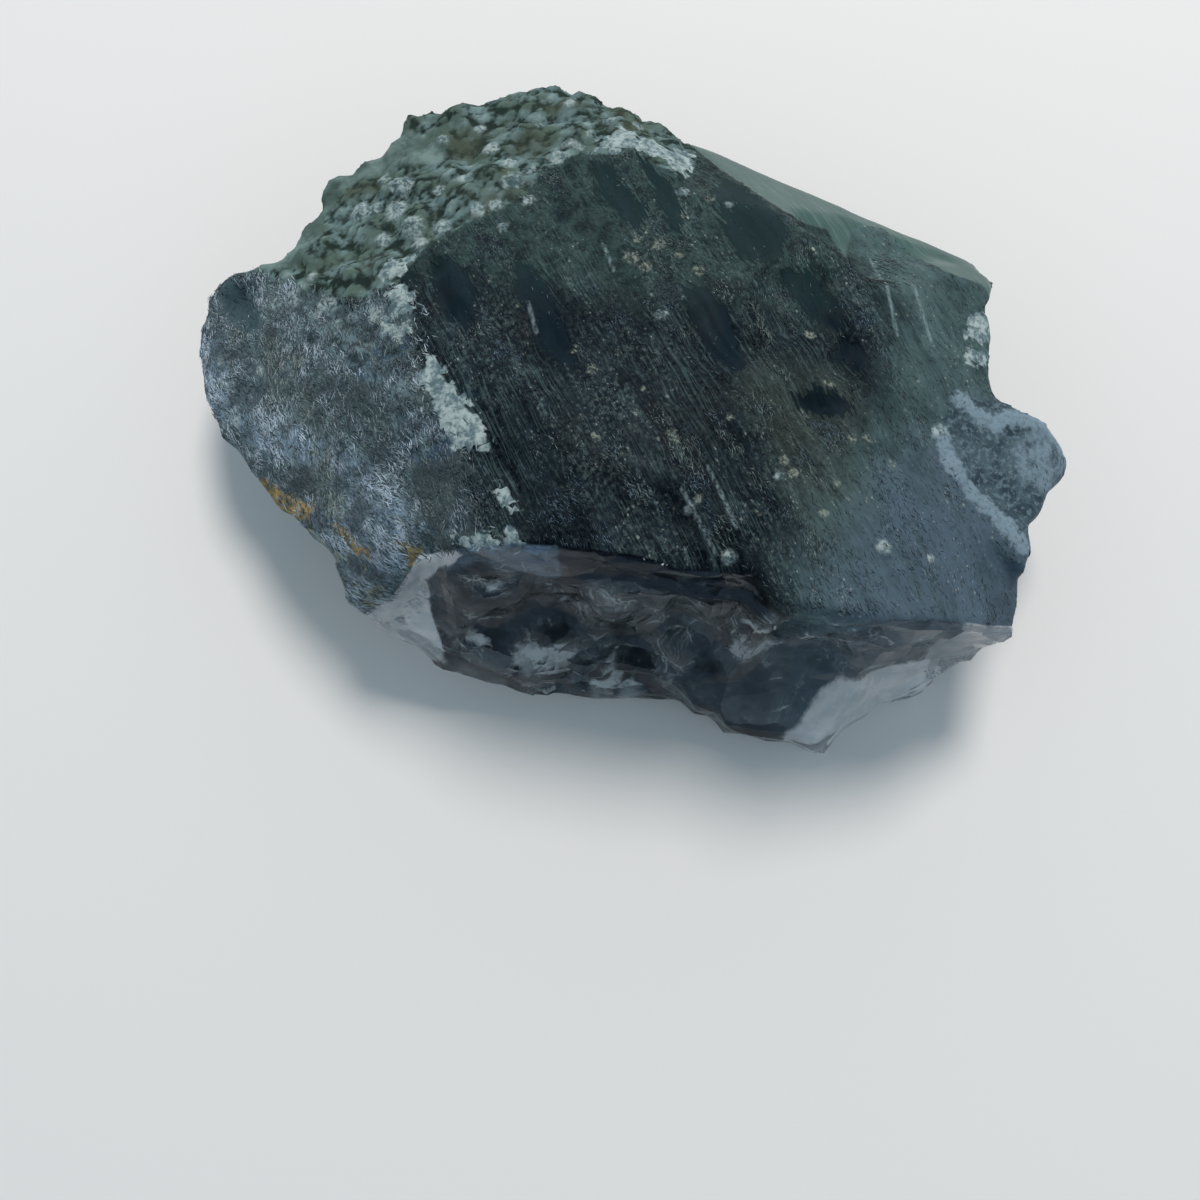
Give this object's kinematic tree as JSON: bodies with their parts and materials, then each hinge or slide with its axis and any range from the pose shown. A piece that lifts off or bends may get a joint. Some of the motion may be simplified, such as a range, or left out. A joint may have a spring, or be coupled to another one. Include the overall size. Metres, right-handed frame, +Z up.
{
  "type": "riebeckite quartz crystal",
  "caption": "Broken piece of smoky quartz full of dark riebeckite fibres, with a granular crust, a smooth crystal face and a clear broken lower band; it rests on a flat broken face.",
  "frame": {"origin": "on the flat resting face, near the middle of the stone seen from above", "axes": "+Z up from the resting face, +X along the stone's longest side towards the small chip crystal, +Y towards the granular crust"},
  "size_m": [0.06, 0.049, 0.0172],
  "materials": {
    "smoky_quartz": "dark fibrous quartz, glassy where it is broken"
  },
  "bodies": {
    "root": {"riebeckite_quartz": "smoky_quartz"}
  },
  "joints": []
}
